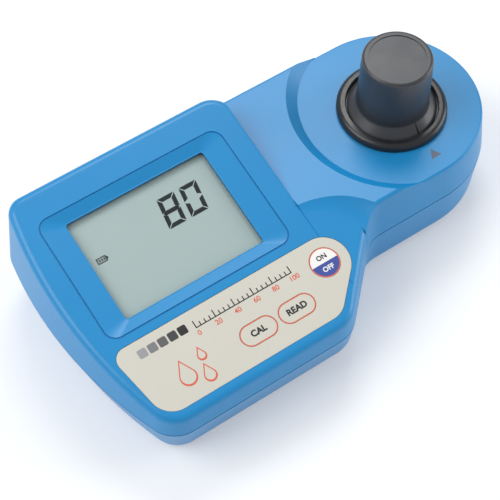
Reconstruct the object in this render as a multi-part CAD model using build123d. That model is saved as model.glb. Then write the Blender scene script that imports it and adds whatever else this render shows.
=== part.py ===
"""Portable colorimeter: a handheld photometer that measures a vial under a tall light-shield cap.

Frame: +X runs from the display end to the sample end, +Y to the back and +Z up. The origin lies on the
table below the middle of the casing. All sizes are millimetres, angles are degrees.
"""
from build123d import *
import os
from math import cos, pi, radians, sin, sqrt, tan

# Casing, seen from above
LENGTH = 192.0
WIDTH = 104.0
END_R = 37.5
DISPLAY_END_R = 170.0
DISPLAY_END_Y = 14.0
BACK_CORNER_R = 10.0
FRONT_CORNER_R = 12.0
KEY_CORNER_R = 14.0
WAIST_R = 12.0
WAIST_X = 22.8

# Casing, seen from the side
FOOT_HEIGHT = 1.5
SEAM_Z = 22.5
SEAM_GAP = 0.5
WALL = 2.4
DRAFT = 6.5
BASE_DRAFT = 4.0
BASE_EDGE_R = 4.0
BLOCK_TUCK = 3.8
GASKET_INSET = 0.7

# Tilted display face: v runs up it from the front edge of the casing
DISPLAY_TILT = 12.0
DISPLAY_FRONT_Z = 31.8
DISPLAY_EDGE_R = 3.0
DISPLAY_SKIN = 5.0
BLOCK_RIGHT_X = 1.6
BLOCK_CORNER_R = 10.0
BLOCK_SIDE_ROLL = 2.0

# Neck, scooped waist and round deck
NECK_Z = 42.3
NECK_EDGE_R = 1.4
SCOOP_R = 20.0
SCOOP_BEND_R = 14.0
SCOOP_BEND_ANGLE = 75.0
DECK_Z = 39.0
DECK_X = 61.8
DECK_Y = 14.4
DECK_R = 38.2
DECK_RAMP_ANGLE = 36.0
DECK_EDGE_R = 0.9
DECK_SKIN = 2.6

# Display window, in x and v on the tilted face
WINDOW_LEFT = -74.7
WINDOW_RIGHT = -16.3
WINDOW_BOTTOM = 43.0
WINDOW_TOP_INSET = 19.2
WINDOW_CORNER_R = 1.2
WINDOW_LEDGE = 2.0
DISH_DEPTH = 1.8
DISH_CORNER_R = 5.0
DISH_LEFT = -84.5
DISH_RIGHT = -6.8
DISH_BOTTOM = 37.6
DISH_TOP_INSET = 14.0
GROOVE_WIDTH = 0.6
GROOVE_DEPTH = 0.45
LENS_DEPTH = 2.8
LENS_T = 1.2
LENS_CLEAR = 0.15

# Display glass, its frame and contact strips
GLASS_T = 2.8
GLASS_GAP = 0.2
FRAME_WALL = 1.6
FRAME_CLEAR = 0.2
GLASS_REST = 0.3
STRIP_WIDTH = 2.4
STRIP_END_GAP = 4.0

# Main board, parallel to the display face
BOARD_DEPTH = 10.4
BOARD_T = 1.6
BOARD_LEFT = -77.0
BOARD_RIGHT = -8.0
BOARD_BOTTOM = 9.5
BOARD_TOP_INSET = 9.5
BOARD_SCREW_INSET = 3.6
BOARD_POST_R = 3.0

# Parts on the board: x, distance below the board's top edge, and the size of each
CHIPS = [(-30.0, 32.5, 14.0, 14.0, 1.6), (-54.0, 28.5, 8.0, 10.0, 1.6), (-60.0, 12.5, 6.5, 7.0, 2.3)]
CRYSTAL = (-30.0, 16.5, 11.0, 4.6, 3.5)
CAN_PLACES = [(-45.0, 10.5), (-37.0, 10.5)]
CAN_R = 3.0
CAN_HEIGHT = 5.0
RESISTOR_START = (-64.0, 40.5)
RESISTOR_SIZE = (2.0, 1.25, 0.6)
RESISTOR_PITCH = 5.0
RESISTOR_COUNT = 8

# Keypad, in x and v on the tilted face
FILM_LEFT_TOP = -87.1
FILM_LEFT_BOTTOM = -82.0
FILM_BOTTOM = 4.9
FILM_TOP = 34.2
FILM_END_R = 9.8
FILM_TOP_CORNER_R = 4.5
FILM_CORNER_R = 9.0
FILM_SINK = 0.15
FILM_T = 0.4
FILM_CLEAR = 0.15
POWER_KEY_X = -2.4
POWER_KEY_R = 5.8
PILL_KEY_LENGTH = 14.8
PILL_KEY_WIDTH = 8.2
CAL_KEY_X = -37.4
READ_KEY_X = -21.0
PILL_KEY_V = 15.0
KEY_CLEAR = 0.12
KEY_FLANGE = 0.5
KEY_FLANGE_T = 0.3
KEY_TRAVEL = 0.4
DOME_R = 3.2
DOME_HEIGHT = 0.4
DOME_TOP_R = 1.8
DOME_T = 0.15
MEMBRANE_BASE = 0.5
TAIL_WIDTH = 9.0
TAIL_T = 0.3
TAIL_X = -52.0
TAIL_V = 30.0
TAIL_CLEAR = 0.4
PLUG_LENGTH = 4.0
PLUG_HEIGHT = 2.4
PLUG_MARGIN = 2.0

# Sample well and collar
WELL_AHEAD = 1.2
CUVETTE_R = 12.0
CUVETTE_WALL = 1.2
CUVETTE_NECK_R = 8.4
CUVETTE_SHOULDER_Z = 37.6
CUVETTE_NECK_Z = 41.0
CUVETTE_TOP_Z = 50.0
CUVETTE_FOOT = 1.0
WELL_CLEAR = 0.3
WELL_FLOOR_Z = 10.0
HOLDER_BASE_Z = 8.0
HOLDER_TOP_Z = 34.6
HOLDER_WALL = 3.0
SEAL_HEIGHT = 1.0
COLLAR_R = 21.3
COLLAR_HEIGHT = 3.3
COLLAR_ROUND = 2.0
COLLAR_LIP_EDGE = 0.4
COLLAR_GAP = 0.4
COLLAR_LEDGE_Z = 40.6
COLLAR_SKIRT_R = 15.9
COLLAR_BORE_R = 13.0
COLLAR_CLEAR = 0.1

# Light-shield cap and vial stopper
CAP_TOP_Z = 69.0
CAP_TOP_R = 13.3
CAP_BASE_R = 13.9
CAP_WALL = 1.4
CAP_ROOF = 1.8
CAP_EDGE_R = 1.3
CAP_FLANGE_R = 17.25
CAP_FLANGE_EDGE = 0.9
CAP_FLANGE_CUT = 0.4
CAP_FLANGE_RISE = 3.2
CAP_FILLET_R = 1.6
CAP_NOTCH_WIDTH = 0.7
CAP_NOTCH_DEPTH = 0.6
CAP_TOP_STEP = 0.3
CAP_TOP_RIM = 1.2
STOPPER_R = 9.9
STOPPER_LOW_Z = 42.4
STOPPER_HEIGHT = 13.0
STOPPER_EDGE = 0.8
STOPPER_RIBS = 18
STOPPER_RIB = 0.9
STOPPER_RIB_END = 2.0
STOPPER_CLEAR = 0.1
INDEX_X = 58.9
INDEX_TIP_Y = -10.5
INDEX_WIDTH = 4.6
INDEX_LENGTH = 4.2
INDEX_SINK = 0.3

# Light path through the well, along X
OPTIC_Z = 22.0
BEAM_R = 2.5
ARM_SIZE = 12.0
LAMP_ARM = 14.0
DETECTOR_ARM = 10.0
LAMP_R = 2.5
LAMP_LENGTH = 8.0
LENS_ROUND_R = 4.0
LENS_ROUND_T = 2.5
LENS_ROUND_EDGE = 0.6
FILTER_R = 4.2
FILTER_T = 3.0
PHOTOCELL_R = 4.1
PHOTOCELL_T = 3.6
OPTIC_CLEAR = 0.1
DETECTOR_BOARD_SIZE = 18.0
DETECTOR_BOARD_T = 1.6
HOLDER_LUG_Y = 20.5
HOLDER_LUG_T = 3.0
HOLDER_LUG_R = 4.0

# Battery bay
BATTERY_LENGTH = 48.5
BATTERY_WIDTH = 26.5
BATTERY_HEIGHT = 17.5
BATTERY_EDGE_R = 2.0
BATTERY_CLEAR = 0.4
BATTERY_X = -38.0
BATTERY_Y = -6.0
BATTERY_Z = 5.4
SNAP_DEPTH = 5.0
SNAP_WIDTH = 24.5
SNAP_HEIGHT = 12.0
SNAP_EDGE_R = 3.0
SNAP_CLEAR = 0.1
TERMINAL_R = 3.2
TERMINAL_HEIGHT = 2.6
TERMINAL_PITCH = 12.7
PEN_WALL = 1.5
PEN_HEIGHT = 13.0
LEAD_R = 0.7
COVER_PLATE_R = 33.5
COVER_PLATE_T = 1.1
COVER_HUB_R = 29.3
COVER_CLEAR = 0.2
COVER_LUG_R = 31.0
COVER_LUG_T = 1.0
COVER_LUG_ANGLE = 14.0
COVER_TURN = 35.0
COVER_SLOT_LENGTH = 22.0
COVER_SLOT_WIDTH = 2.4
COVER_SLOT_DEPTH = 0.7
PAD_LENGTH = 30.0
PAD_WIDTH = 16.0
PAD_CLEAR = 0.3

# Fasteners and feet
CASE_SCREWS = [(-81.0, 36.0), (-81.0, -16.0), (4.0, 40.0), (-1.0, -32.0), (77.2, 33.2), (77.2, -4.2)]
BOSS_R = 3.6
SCREW_R = 1.4
SCREW_CLEAR = 0.1
SCREW_HEAD_R = 2.5
SCREW_HEAD_T = 1.8
SCREW_HEAD_EDGE = 0.5
SCREW_SINK = 1.2
SCREW_BITE = 7.0
CROSS_WIDTH = 0.7
CROSS_LENGTH = 3.0
CROSS_DEPTH = 0.9
BOARD_SCREW_R = 1.1
BOARD_SCREW_HEAD_R = 2.2
BOARD_SCREW_HEAD_T = 1.3
BOARD_SCREW_BITE = 3.6
FEET = [(-72.0, 37.0), (-72.0, -37.0), (66.0, 38.0), (66.0, -9.0)]
FOOT_R = 4.5
FOOT_SINK = 0.6
FOOT_EDGE = 0.5

# Places that follow from the sizes above
BACK_Y = WIDTH / 2
FRONT_Y = -WIDTH / 2
WINDOW_TOP = WIDTH - WINDOW_TOP_INSET
DISH_TOP = WIDTH - DISH_TOP_INSET
BOARD_TOP = WIDTH - BOARD_TOP_INSET
WELL_X = LENGTH / 2 - END_R
END_Y = BACK_Y - END_R
WELL_Y = END_Y - WELL_AHEAD
WAIST_Y = END_Y - END_R
COVER_Z = SEAM_Z + SEAM_GAP
FLOOR_Z = FOOT_HEIGHT + WALL
TALL = 40.0
WIDE = 400.0
FILM_DEPTH = FILM_SINK + FILM_T
FLANGE_DEPTH = FILM_DEPTH + KEY_FLANGE_T
POCKET_DEPTH = FLANGE_DEPTH + KEY_TRAVEL + DOME_HEIGHT + 0.05
RECESS_DEPTH = POCKET_DEPTH + MEMBRANE_BASE
GLASS_DEPTH = LENS_DEPTH + LENS_T + GLASS_GAP
FRAME_INNER = WINDOW_LEDGE - FRAME_WALL + FRAME_CLEAR
WELL_R = CUVETTE_R + WELL_CLEAR
HOLDER_R = WELL_R + HOLDER_WALL
CAP_LOW_Z = COLLAR_LEDGE_Z
CAP_BORE_R = CAP_TOP_R - CAP_WALL
POWER_KEY_V = FILM_TOP - FILM_END_R


def left_end_x(y):
    """X of the bulged display end at a given y."""
    return DISPLAY_END_R - LENGTH / 2 - sqrt(DISPLAY_END_R**2 - (y - DISPLAY_END_Y) ** 2)


def round_corners(face, corners):
    """Round the corners of a flat face; each corner is x, y and its radius."""
    for x, y, radius in corners:
        corner = face.vertices().sort_by_distance(Vector(x, y, 0))[0]
        face = fillet(corner, radius)
    return face


def rounded_rectangle(left, right, bottom, top, radius):
    """Flat face between four edges."""
    shape = RectangleRounded(right - left, top - bottom, radius)
    return Pos((left + right) / 2, (bottom + top) / 2) * shape


def casing_outline(inset=0.0, tuck=0.0):
    """Plan of the casing; a tuck draws in the left end and the front of the display block."""
    front_y = FRONT_Y + tuck
    key_x = WAIST_X - (WAIST_Y - front_y)
    back_left = (left_end_x(BACK_Y) + tuck, BACK_Y)
    front_left = (left_end_x(front_y) + tuck, front_y)
    key_corner = (key_x, front_y)
    waist = (WAIST_X, WAIST_Y)
    end_front = (WELL_X, WAIST_Y)
    end_back = (WELL_X, BACK_Y)
    edges = [
        ThreePointArc(back_left, (tuck - LENGTH / 2, DISPLAY_END_Y), front_left),
        Line(front_left, key_corner),
        Line(key_corner, waist),
        Line(waist, end_front),
        ThreePointArc(end_front, (WELL_X + END_R, END_Y), end_back),
        Line(end_back, back_left),
    ]
    face = make_face(Curve() + edges)
    face = round_corners(
        face,
        [
            (*back_left, BACK_CORNER_R),
            (*front_left, FRONT_CORNER_R),
            (*key_corner, KEY_CORNER_R),
            (*waist, WAIST_R),
        ],
    )
    if inset:
        face = offset(face, -inset, kind=Kind.INTERSECTION)
    return face


def display(depth=0.0):
    """Place on the tilted face, a given depth below it, with u along X and v up the slope."""
    tilt = radians(DISPLAY_TILT)
    face = Plane(origin=(0, FRONT_Y, DISPLAY_FRONT_Z), x_dir=(1, 0, 0), z_dir=(0, -sin(tilt), cos(tilt)))
    return face.offset(-depth).location


def above(place, left=-WIDE / 2, right=WIDE / 2):
    """Block that fills everything above a face, between two x limits."""
    return place * Pos((left + right) / 2, 0, TALL) * Box(right - left, WIDE, 2 * TALL)


def plate(face, place, thickness):
    """Flat face put at a place and thickened downwards."""
    return extrude(place * face, amount=-thickness)


def rounded_top(solid, radius):
    """Round the closed edge round the highest face."""
    top = max(solid.faces(), key=lambda face: face.normal_at().Z)
    return fillet(top.edges(), radius)


def well(z=0.0):
    """Place on the axis of the sample well."""
    return Pos(WELL_X, WELL_Y, z)


def block_end():
    """Bounds of the display block at the back right, with its rounded corner and rolled edge."""
    plan = Pos(0, BACK_Y - WIDE / 4, COVER_Z) * Rectangle(WIDE, WIDE / 2)
    side_x = BLOCK_RIGHT_X + BLOCK_SIDE_ROLL
    bounds = extrude(plan, amount=TALL, taper=DRAFT) & Pos(side_x - WIDE / 2, 0, 0) * Box(WIDE, WIDE, WIDE)
    corner = bounds.edges().sort_by_distance(Vector(side_x, BACK_Y, DISPLAY_FRONT_Z))[0]
    bounds = fillet(corner, BLOCK_CORNER_R)
    return rounded_top(bounds - above(display()), DISPLAY_EDGE_R)


def scoop():
    """Round hollow beside the power key: flat in line with the display face, then curved up to the neck."""

    def bend(share):
        angle = radians(SCOOP_BEND_ANGLE * share)
        return (SCOOP_R + SCOOP_BEND_R * sin(angle), 0, SCOOP_BEND_R * (1 - cos(angle)))

    top = (0, 0, bend(1)[2])
    edges = [
        Line((0, 0, 0), bend(0)),
        ThreePointArc(bend(0), bend(0.5), bend(1)),
        Line(bend(1), top),
        Line(top, (0, 0, 0)),
    ]
    profile = make_face(Curve() + edges)
    return display() * Pos(POWER_KEY_X, POWER_KEY_V, 0) * revolve(profile, Axis.Z)


def cover_body():
    """Outside of the upper casing: tilted block, neck, scooped waist and sunk round deck."""
    raw = extrude(Pos(0, 0, COVER_Z) * casing_outline(), amount=TALL, taper=DRAFT)
    block = rounded_top(raw - above(display()), DISPLAY_EDGE_R)
    sample = rounded_top(raw - above(Pos(0, 0, NECK_Z)), NECK_EDGE_R)
    flat = rounded_top(raw - above(Pos(0, 0, DECK_Z)), DECK_EDGE_R)

    apron = display(TALL / 4) * Pos(POWER_KEY_X, POWER_KEY_V, 0) * Cylinder(SCOOP_R, TALL / 2)
    sample = sample - scoop() - (apron - block)

    deck_height = 10.0
    deck_top_r = DECK_R + deck_height / tan(radians(DECK_RAMP_ANGLE))
    deck = Pos(DECK_X, DECK_Y, DECK_Z + deck_height / 2) * Cone(DECK_R, deck_top_r, deck_height)
    brim = Pos(DECK_X, DECK_Y, DECK_Z - DECK_EDGE_R) * Cylinder(DECK_R, 2 * DECK_EDGE_R)
    sample = sample - deck - (brim - flat)

    left = Pos(BLOCK_RIGHT_X - WIDE / 2, 0, 0) * Box(WIDE, WIDE, WIDE)
    corner_size = BLOCK_CORNER_R + DISPLAY_EDGE_R
    under_corner = Pos(BLOCK_RIGHT_X, BACK_Y, COVER_Z) * Box(2 * corner_size, 4 * corner_size, 2 * TALL)
    return (block & block_end() & left) + (sample - left) + (sample & left & under_corner)


def cover_cavity():
    """Hollow of the upper casing."""
    inner = extrude(Pos(0, 0, COVER_Z) * casing_outline(WALL), amount=TALL, taper=DRAFT)
    inner = inner - above(display(DISPLAY_SKIN))
    return inner - above(Pos(0, 0, DECK_Z - DECK_SKIN), left=BLOCK_RIGHT_X - WALL)


def film_outline():
    """Outline of the keypad film: round at the power key, slanted at both ends."""
    reach = FILM_END_R * sqrt(0.5)
    slant_x = POWER_KEY_X + reach
    slant_v = POWER_KEY_V - reach
    right_foot = slant_x - (slant_v - FILM_BOTTOM)
    edges = [
        Line((FILM_LEFT_TOP, FILM_TOP), (POWER_KEY_X, FILM_TOP)),
        ThreePointArc(
            (POWER_KEY_X, FILM_TOP),
            (POWER_KEY_X + FILM_END_R, POWER_KEY_V),
            (slant_x, slant_v),
        ),
        Line((slant_x, slant_v), (right_foot, FILM_BOTTOM)),
        Line((right_foot, FILM_BOTTOM), (FILM_LEFT_BOTTOM, FILM_BOTTOM)),
        Line((FILM_LEFT_BOTTOM, FILM_BOTTOM), (FILM_LEFT_TOP, FILM_TOP)),
    ]
    face = make_face(Curve() + edges)
    return round_corners(
        face,
        [
            (FILM_LEFT_TOP, FILM_TOP, FILM_TOP_CORNER_R),
            (FILM_LEFT_BOTTOM, FILM_BOTTOM, FILM_CORNER_R),
            (right_foot, FILM_BOTTOM, FILM_CORNER_R),
        ],
    )


def key_outlines(margin=0.0):
    """Outline of each key by name, grown by a margin."""
    pill = SlotOverall(PILL_KEY_LENGTH + 2 * margin, PILL_KEY_WIDTH + 2 * margin)
    return {
        "power_key": Pos(POWER_KEY_X, POWER_KEY_V) * Circle(POWER_KEY_R + margin),
        "cal_key": Pos(CAL_KEY_X, PILL_KEY_V) * pill,
        "read_key": Pos(READ_KEY_X, PILL_KEY_V) * pill,
    }


def window_outline(margin=0.0):
    """Outline of the display window, grown by a margin."""
    return rounded_rectangle(
        WINDOW_LEFT - margin,
        WINDOW_RIGHT + margin,
        WINDOW_BOTTOM - margin,
        WINDOW_TOP + margin,
        WINDOW_CORNER_R + margin,
    )


def dish_outline(margin=0.0):
    """Outline of the dished frame round the window, grown by a margin."""
    return rounded_rectangle(
        DISH_LEFT - margin,
        DISH_RIGHT + margin,
        DISH_BOTTOM - margin,
        DISH_TOP + margin,
        DISH_CORNER_R + margin,
    )


def display_dish():
    """Space above the dished frame, which falls from the groove to the window."""
    rim = display() * dish_outline(-GROOVE_WIDTH)
    low = display(DISH_DEPTH) * window_outline(0.4)
    return loft([rim, low], ruled=True)


def board_screw_places():
    """Board screws in x and v."""
    columns = (BOARD_LEFT + BOARD_SCREW_INSET, BOARD_RIGHT - BOARD_SCREW_INSET)
    rows = (BOARD_BOTTOM + BOARD_SCREW_INSET, BOARD_TOP - BOARD_SCREW_INSET)
    return [(x, v) for x in columns for v in rows]


def cover_post(x, y):
    """Hollow post that takes a case screw, up to the roof of the cover."""
    post = Pos(x, y, COVER_Z + TALL / 2) * Cylinder(BOSS_R, TALL)
    return post


def screw_hole(x, y):
    """Pilot hole of a case screw in its post."""
    depth = SCREW_BITE + 1.0
    return Pos(x, y, COVER_Z + depth / 2) * Cylinder(SCREW_R + SCREW_CLEAR, depth)


def top_cover():
    """Upper casing with its openings, posts and recesses."""
    body = cover_body()
    cavity = cover_cavity()
    for x, y in CASE_SCREWS:
        cavity = cavity - cover_post(x, y)
    for x, v in board_screw_places():
        cavity = cavity - plate(Pos(x, v) * Circle(BOARD_POST_R), display(0), BOARD_DEPTH)
    body = body - cavity
    for x, y in CASE_SCREWS:
        body = body - screw_hole(x, y)
    for x, v in board_screw_places():
        hole = Pos(x, v) * Circle(BOARD_SCREW_R + SCREW_CLEAR)
        start = BOARD_DEPTH - BOARD_SCREW_BITE - 0.4
        body = body - plate(hole, display(start), TALL)

    body = body - plate(dish_outline() - dish_outline(-GROOVE_WIDTH), display(), GROOVE_DEPTH)
    body = body - display_dish()
    body = body - plate(window_outline(), display(), TALL / 2)
    body = body - plate(window_outline(WINDOW_LEDGE + LENS_CLEAR), display(LENS_DEPTH), TALL / 2)
    body = body - plate(offset(film_outline(), FILM_CLEAR), display(), RECESS_DEPTH)
    tail_slot = Pos(TAIL_X, TAIL_V) * Rectangle(TAIL_WIDTH + 2 * TAIL_CLEAR, TAIL_T + 2 * TAIL_CLEAR)
    body = body - plate(tail_slot, display(), TALL / 2)
    collar_hole = well(DECK_Z) * Cylinder(COLLAR_SKIRT_R + COLLAR_CLEAR, 4 * DECK_SKIN)
    body = body - collar_hole
    return body - plate(index_outline(), Pos(0, 0, DECK_Z), INDEX_SINK)


def index_outline():
    """Triangle that points at the well."""
    low = INDEX_TIP_Y - INDEX_LENGTH
    half = INDEX_WIDTH / 2
    return make_face(Polyline((INDEX_X, INDEX_TIP_Y), (INDEX_X - half, low), (INDEX_X + half, low), close=True))


def index_mark():
    """Printed triangle, level with the deck."""
    return plate(index_outline(), Pos(0, 0, DECK_Z), INDEX_SINK)


def shell_body(inset, base_z, edge_r):
    """Tub below the parting line, drawn in more below the display block than elsewhere."""
    height = SEAM_Z - base_z
    lean = height * tan(radians(BASE_DRAFT))
    tuck = BLOCK_TUCK * height / (SEAM_Z - FOOT_HEIGHT)
    rim = Pos(0, 0, SEAM_Z) * casing_outline(inset)
    floor = Pos(0, 0, base_z) * casing_outline(inset + lean, tuck)
    tub = loft([rim, floor], ruled=True)
    if edge_r:
        bottom = min(tub.faces(), key=lambda face: face.center().Z)
        tub = fillet(bottom.edges(), edge_r)
    return tub


def shell_boss(x, y):
    """Post in the lower casing round a case screw."""
    height = SEAM_Z - FOOT_HEIGHT
    return Pos(x, y, FOOT_HEIGHT + height / 2) * Cylinder(BOSS_R, height)


def head_room(x, y):
    """Sunk place for the head of a case screw, with its clearance hole."""
    sink = SCREW_SINK + SCREW_HEAD_T
    head = Pos(x, y, FOOT_HEIGHT + sink / 2) * Cylinder(SCREW_HEAD_R + 2 * SCREW_CLEAR, sink)
    return head + Pos(x, y, SEAM_Z / 2 + FOOT_HEIGHT) * Cylinder(SCREW_R + SCREW_CLEAR, SEAM_Z)


def pen_size():
    """Inner length and width of the walls round battery and clip."""
    length = BATTERY_LENGTH + SNAP_DEPTH + 3 * BATTERY_CLEAR
    return length, BATTERY_WIDTH + 2 * BATTERY_CLEAR


def battery_pen():
    """Walls that hold the battery, standing on the floor outside the round hatch."""
    length, width = pen_size()
    low = FLOOR_Z + COVER_LUG_T + 2 * COVER_CLEAR
    height = PEN_HEIGHT - (low - FLOOR_Z)
    place = Pos(BATTERY_X, BATTERY_Y, low + height / 2)
    walls = place * (Box(length + 2 * PEN_WALL, width + 2 * PEN_WALL, height) - Box(length, width, height))
    legs_height = low - FLOOR_Z + 1.0
    legs = Pos(BATTERY_X, BATTERY_Y, FLOOR_Z + legs_height / 2) * (
        Box(length + 2 * PEN_WALL, width + 2 * PEN_WALL, legs_height)
        - Box(length, width, legs_height)
        - Cylinder(COVER_LUG_R + COVER_CLEAR, legs_height)
    )
    gate = Pos(BATTERY_X + length / 2, BATTERY_Y, low + height) * Box(3 * PEN_WALL, width / 2, height)
    return walls + legs - gate


def hatch():
    """Round opening of the battery bay with its sunk seat and two notches for the lugs."""
    centre = Pos(BATTERY_X, BATTERY_Y, 0)
    seat_depth = COVER_PLATE_T + COVER_CLEAR
    seat = centre * Pos(0, 0, FOOT_HEIGHT + seat_depth / 2) * Cylinder(COVER_PLATE_R + COVER_CLEAR, seat_depth)
    hole = centre * Pos(0, 0, FLOOR_Z) * Cylinder(COVER_HUB_R + COVER_CLEAR, 2 * WALL + 0.2)
    notches = centre * Pos(0, 0, FLOOR_Z) * Rot(0, 0, -COVER_TURN) * lug_sector(COVER_LUG_R + COVER_CLEAR, 3.0, 2 * WALL)
    return seat + hole + notches


def lug_sector(radius, extra_angle, height):
    """Two opposite wedges of the lugs' width, centred on the Y axis."""
    disc = Cylinder(radius, height)
    half = tan(radians(COVER_LUG_ANGLE / 2 + extra_angle)) * radius
    bow = make_face(Polyline((0, 0), (half, radius), (-half, radius), close=True))
    wedge = Pos(0, 0, -height / 2) * extrude(scale(bow, 1.2), amount=height)
    return (wedge + Rot(0, 0, 180) * wedge) & disc


def bottom_shell():
    """Lower casing: tub with bosses, battery pen, hatch and sunk feet."""
    body = shell_body(0.0, FOOT_HEIGHT, BASE_EDGE_R)
    cavity = shell_body(WALL, FLOOR_Z, 0.0)
    for x, y in CASE_SCREWS:
        cavity = cavity - shell_boss(x, y)
    for y in (WELL_Y - HOLDER_LUG_Y, WELL_Y + HOLDER_LUG_Y):
        boss_height = HOLDER_BASE_Z - FOOT_HEIGHT
        boss = Pos(WELL_X, y, FOOT_HEIGHT + boss_height / 2) * Cylinder(HOLDER_LUG_R, boss_height)
        cavity = cavity - boss
    body = body - cavity
    body = body + battery_pen()
    for x, y in CASE_SCREWS:
        body = body - head_room(x, y)
    for y in (WELL_Y - HOLDER_LUG_Y, WELL_Y + HOLDER_LUG_Y):
        depth = HOLDER_BASE_Z - FLOOR_Z
        body = body - Pos(WELL_X, y, HOLDER_BASE_Z - depth / 2) * Cylinder(BOARD_SCREW_R + SCREW_CLEAR, depth)
    for x, y in FEET:
        body = body - Pos(x, y, FOOT_HEIGHT + FOOT_SINK / 2) * Cylinder(FOOT_R, FOOT_SINK)
    return body - hatch()


def seam_gasket():
    """Dark seal in the parting line."""
    outer = casing_outline(GASKET_INSET)
    inner = casing_outline(WALL - GASKET_INSET)
    return extrude(Pos(0, 0, SEAM_Z) * (outer - inner), amount=SEAM_GAP)


def display_lens():
    """Clear window, seated from inside on the ledge of the cover."""
    return plate(window_outline(WINDOW_LEDGE), display(LENS_DEPTH), LENS_T)


def lcd_glass():
    """Display glass below the window."""
    return plate(window_outline(FRAME_INNER), display(GLASS_DEPTH), GLASS_T)


def lcd_frame():
    """Frame from the lens down to the board, round the glass and the contact strips."""
    outer = window_outline(WINDOW_LEDGE)
    inner = window_outline(FRAME_INNER)
    top = LENS_DEPTH + LENS_T
    frame = plate(outer - inner, display(top), BOARD_DEPTH - top)
    spacer = plate(outer - window_outline(GLASS_REST), display(top), GLASS_GAP)
    return frame + spacer


def lcd_connectors():
    """Two rubber contact strips between glass and board."""
    length = WINDOW_RIGHT - WINDOW_LEFT - STRIP_END_GAP
    middle = (WINDOW_LEFT + WINDOW_RIGHT) / 2
    low = GLASS_DEPTH + GLASS_T
    strips = Compound(
        [
            plate(Pos(middle, v) * Rectangle(length, STRIP_WIDTH), display(low), BOARD_DEPTH - low)
            for v in (WINDOW_BOTTOM + STRIP_WIDTH / 2, WINDOW_TOP - STRIP_WIDTH / 2)
        ]
    )
    return strips


def main_board():
    """Circuit board with its screw holes."""
    face = rounded_rectangle(BOARD_LEFT, BOARD_RIGHT, BOARD_BOTTOM, BOARD_TOP, 1.0)
    for x, v in board_screw_places():
        face = face - Pos(x, v) * Circle(BOARD_SCREW_R + SCREW_CLEAR)
    return plate(face, display(BOARD_DEPTH), BOARD_T)


def board_parts():
    """Parts on the underside of the board."""
    low = display(BOARD_DEPTH + BOARD_T)
    parts = []
    for x, drop, length, width, height in CHIPS:
        parts.append(plate(Pos(x, BOARD_TOP - drop) * Rectangle(length, width), low, height))
    x, drop, length, width, height = CRYSTAL
    parts.append(plate(Pos(x, BOARD_TOP - drop) * SlotOverall(length, width), low, height))
    for x, drop in CAN_PLACES:
        parts.append(plate(Pos(x, BOARD_TOP - drop) * Circle(CAN_R), low, CAN_HEIGHT))
    length, width, height = RESISTOR_SIZE
    start_x, drop = RESISTOR_START
    for i in range(RESISTOR_COUNT):
        place = Pos(start_x + RESISTOR_PITCH * i, BOARD_TOP - drop)
        parts.append(plate(place * Rectangle(length, width), low, height))
    return Compound(parts)


def board_screws():
    """Four screws through the board into the posts of the cover."""
    screws = []
    for x, v in board_screw_places():
        low = BOARD_DEPTH + BOARD_T
        shank = plate(Pos(x, v) * Circle(BOARD_SCREW_R), display(BOARD_DEPTH - BOARD_SCREW_BITE), BOARD_SCREW_BITE + BOARD_T)
        head = plate(Pos(x, v) * Circle(BOARD_SCREW_HEAD_R), display(low), BOARD_SCREW_HEAD_T)
        slot = plate(Pos(x, v) * Rectangle(3.2, 0.6), display(low + BOARD_SCREW_HEAD_T - 0.5), 1.0)
        screws.append(shank + head - slot)
    return Compound(screws)


def keypad_overlay():
    """Printed film with a hole round each key."""
    face = film_outline()
    for hole in key_outlines(KEY_CLEAR).values():
        face = face - hole
    return plate(face, display(FILM_SINK), FILM_T)


def key(name):
    """Key pad in its hole, held under the film by a thin flange."""
    pad = plate(key_outlines()[name], display(FILM_SINK), FILM_T)
    flange = plate(key_outlines(KEY_FLANGE)[name], display(FILM_DEPTH), KEY_FLANGE_T)
    return pad + flange


def keypad_membrane():
    """Contact layer that carries the film and has a pocket below each key."""
    body = plate(film_outline(), display(FILM_DEPTH), RECESS_DEPTH - FILM_DEPTH)
    for pocket in key_outlines(KEY_FLANGE + KEY_CLEAR + 0.1).values():
        body = body - plate(pocket, display(FILM_DEPTH), POCKET_DEPTH - FILM_DEPTH)
    tail = Pos(TAIL_X, TAIL_V) * Rectangle(TAIL_WIDTH + TAIL_CLEAR, TAIL_T + TAIL_CLEAR)
    return body - plate(tail, display(), RECESS_DEPTH + 1.0)


def snap_domes():
    """Three thin metal domes that click under the keys."""
    domes = []
    for x, v in ((POWER_KEY_X, POWER_KEY_V), (CAL_KEY_X, PILL_KEY_V), (READ_KEY_X, PILL_KEY_V)):
        place = display(POCKET_DEPTH) * Pos(x, v, DOME_HEIGHT / 2)
        cone = Cone(DOME_R, DOME_TOP_R, DOME_HEIGHT)
        domes.append(place * (cone - Pos(0, 0, -DOME_T) * cone))
    return Compound(domes)


def keypad_tail():
    """Flat tail from the contact layer through the cover to the board."""
    strip = plate(Pos(TAIL_X, TAIL_V) * Rectangle(TAIL_WIDTH, TAIL_T), display(FILM_DEPTH), BOARD_DEPTH - FILM_DEPTH)
    plug_face = Pos(TAIL_X, TAIL_V - PLUG_LENGTH / 2) * Rectangle(TAIL_WIDTH + 2 * PLUG_MARGIN, PLUG_LENGTH - TAIL_T)
    plug = plate(plug_face, display(BOARD_DEPTH - PLUG_HEIGHT), PLUG_HEIGHT)
    return strip + plug


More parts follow.
